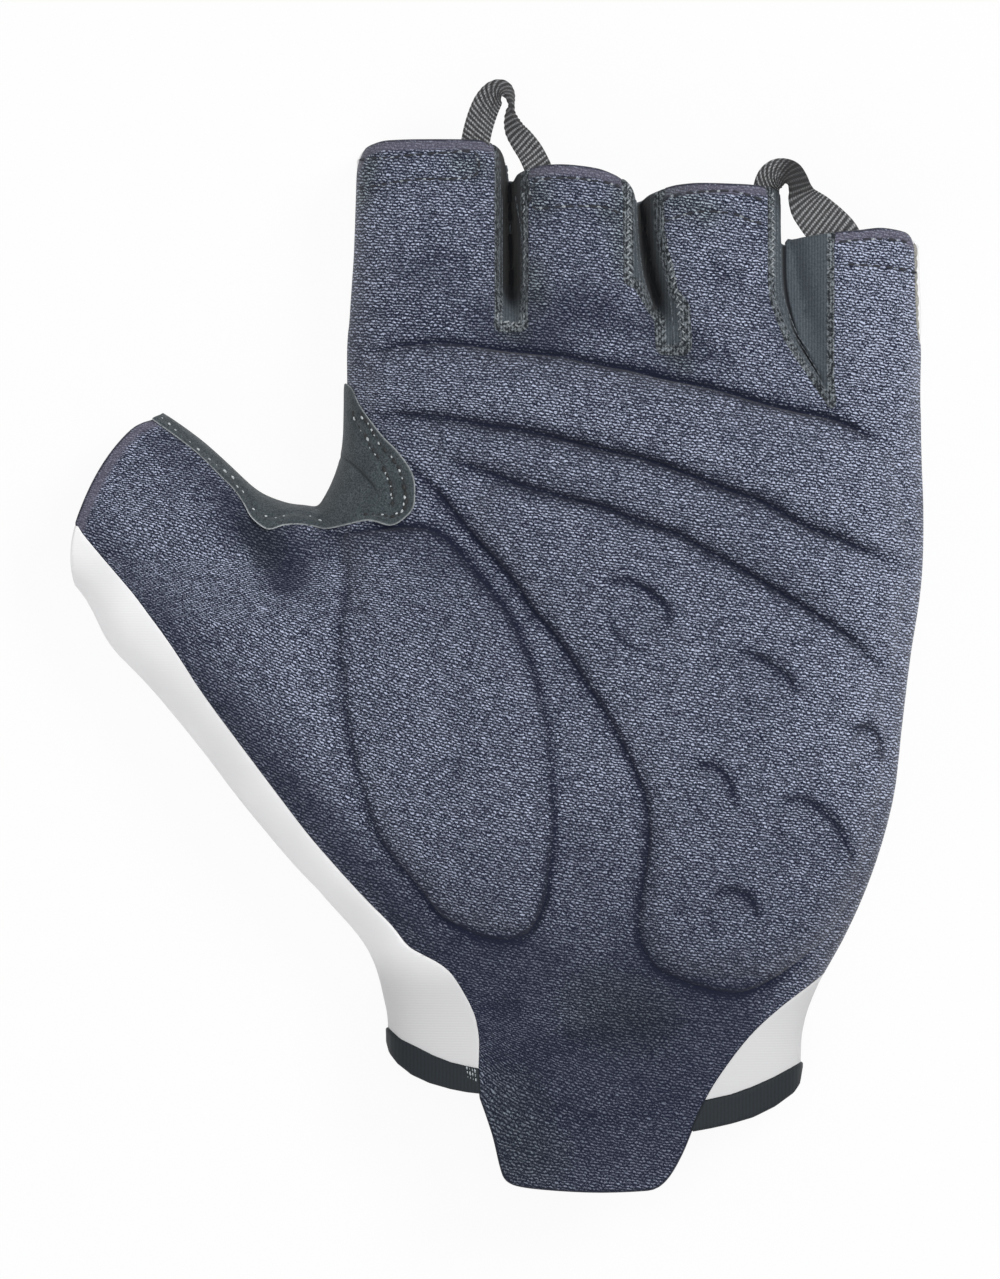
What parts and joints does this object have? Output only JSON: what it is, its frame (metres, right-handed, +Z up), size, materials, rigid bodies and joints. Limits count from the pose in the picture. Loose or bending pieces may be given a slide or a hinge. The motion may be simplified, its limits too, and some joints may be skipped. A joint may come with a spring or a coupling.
{
  "type": "fingerless cycling glove",
  "caption": "Left-hand slip-on fingerless cycling glove lying palm up, with padded knit palm, white stretch back, webbing pull loops and a heel tab.",
  "frame": {"origin": "on the floor under the middle of the glove's bounding box, with the glove lying on its back", "axes": "+Z up out of the palm, +Y from the cuff towards the fingers, +X towards the little finger, so the thumb is on the -X side"},
  "size_m": [0.1422, 0.186, 0.0275],
  "materials": {
    "palm_knit": "napped knit",
    "white_stretch": "smooth stretch knit",
    "fourchette_mesh": "fine mesh",
    "fork_suede": "suede",
    "pad_foam": "soft foam",
    "lining_cloth": "matte",
    "cuff_elastic": "woven elastic",
    "loop_webbing": "ribbed webbing"
  },
  "bodies": {
    "glove": {"palm_panel": "palm_knit", "back_panel": "white_stretch", "fourchette_index_middle": "fourchette_mesh", "fourchette_middle_ring": "fourchette_mesh", "fourchette_ring_little": "fourchette_mesh", "thumb_fork_patch": "fork_suede", "knuckle_pad": "pad_foam", "metacarpal_pad": "pad_foam", "hypothenar_pad": "pad_foam", "thenar_pad": "pad_foam", "palm_lining": "lining_cloth", "cuff_binding": "cuff_elastic"},
    "heel_tab_flap": {"heel_tab": "palm_knit"},
    "index_middle_loop": {"pull_loop_index_middle": "loop_webbing"},
    "ring_little_loop": {"pull_loop_ring_little": "loop_webbing"}
  },
  "joints": [
    {"name": "heel_tab_fold", "type": "hinge", "parent": "glove", "child": "heel_tab_flap", "pos_m": [0.01433, -0.08196, 0.01962], "axis": [-0.9878, 0.1559, 0], "range_deg": [-60, 120], "stiffness_Nm_per_rad": 0.004},
    {"name": "index_middle_loop_swing", "type": "hinge", "parent": "glove", "child": "index_middle_loop", "pos_m": [0.002, 0.08149, 0.0152], "axis": [0.8969, -0.4422, 0.0055], "range_deg": [-45, 90], "stiffness_Nm_per_rad": 0.0005},
    {"name": "ring_little_loop_swing", "type": "hinge", "parent": "glove", "child": "ring_little_loop", "pos_m": [0.05112, 0.07307, 0.01484], "axis": [0.7631, -0.6248, 0.1654], "range_deg": [-45, 90], "stiffness_Nm_per_rad": 0.0005}
  ]
}
